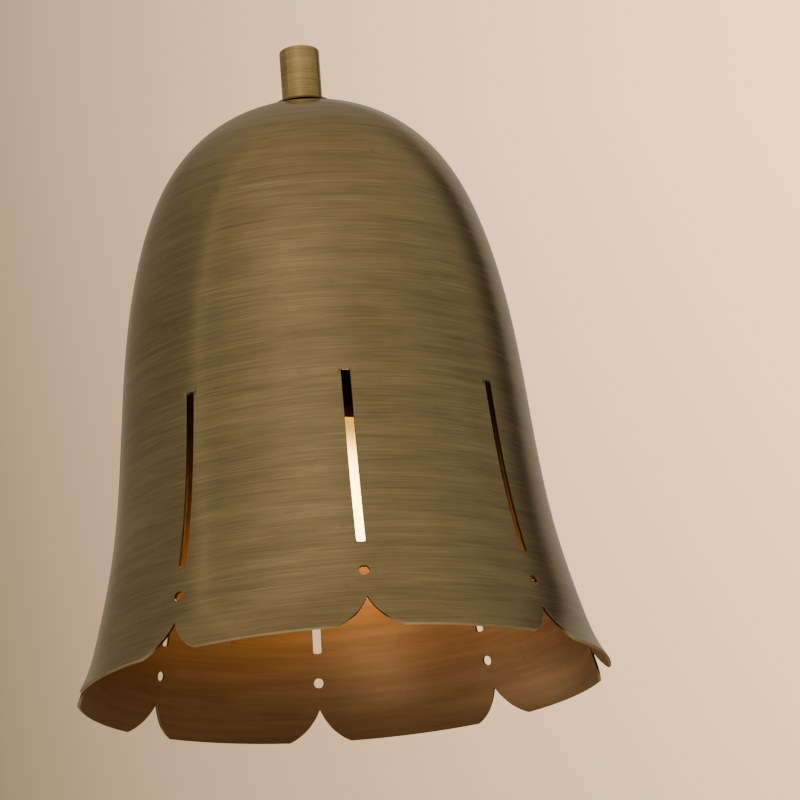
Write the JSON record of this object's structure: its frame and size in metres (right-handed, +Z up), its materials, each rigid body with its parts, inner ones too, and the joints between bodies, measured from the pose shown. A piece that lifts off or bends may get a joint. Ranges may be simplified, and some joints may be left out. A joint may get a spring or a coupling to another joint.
{
  "type": "wall light",
  "caption": "Wall light with a bell-shaped brushed brass shade hanging from a swan-neck arm: scalloped petal rim, upright slots, pin holes, round backplate and a frosted screw bulb.",
  "frame": {"origin": "middle of the backplate, on the wall plane that its crossbar and rim lie against", "axes": "+Z up, -Y out of the wall towards the room, +X to the right seen from the room; the shade's upright axis is at x 0, y -0.120"},
  "size_m": [0.1708, 0.2054, 0.2186],
  "materials": {
    "shade_brass": "circumferentially brushed, aged",
    "fitting_brass": "turned, aged",
    "steel": "zinc plated",
    "inner_brass": "plain",
    "bush_plastic": "natural nylon",
    "plate_brass": "brushed, aged",
    "earth_green": "green dyed",
    "block_plastic": "natural nylon",
    "lead_brown": "sleeved",
    "lead_blue": "sleeved",
    "cup_brass": "spun, aged",
    "porcelain": "glazed",
    "tin": "soldered",
    "vitrite": "black glass",
    "bulb_cap_metal": "pressed",
    "frosted_glass": "frosted inside, lit",
    "clear_glass": "clear",
    "tungsten": "wire"
  },
  "bodies": {
    "fixture": {"shade": "shade_brass", "check_ring": "fitting_brass", "hub": "fitting_brass", "shade_pipe": "steel", "dome_washer": "steel", "dome_nut": "inner_brass", "arm": "fitting_brass", "arm_collar": "fitting_brass", "arm_nipple": "steel", "nipple_bush": "bush_plastic", "plate_washer": "steel", "plate_nut": "inner_brass", "backplate": "plate_brass", "crossbar": "steel", "fixing_studs": "steel", "stud_nuts": "steel", "cap_nuts": "fitting_brass", "earth_screw": "earth_green", "terminal_block": "block_plastic", "live_lead": "lead_brown", "neutral_lead": "lead_blue", "pipe_bush": "bush_plastic", "cup_nut": "inner_brass", "socket_cup": "cup_brass", "holder_bridge": "steel", "holder_screws": "steel", "terminal_clips": "inner_brass", "lamp_holder": "porcelain", "screw_shell": "inner_brass", "centre_contact": "inner_brass"},
    "bulb": {"bulb_glass": "frosted_glass", "bulb_cap": "bulb_cap_metal", "bulb_insulator": "vitrite", "bulb_contact": "tin", "bulb_stem": "clear_glass", "filament": "tungsten"}
  },
  "joints": [
    {"name": "bulb_unscrew", "type": "slide", "parent": "fixture", "child": "bulb", "axis": [0, 0, -1], "range_m": [0, 0.028]}
  ]
}
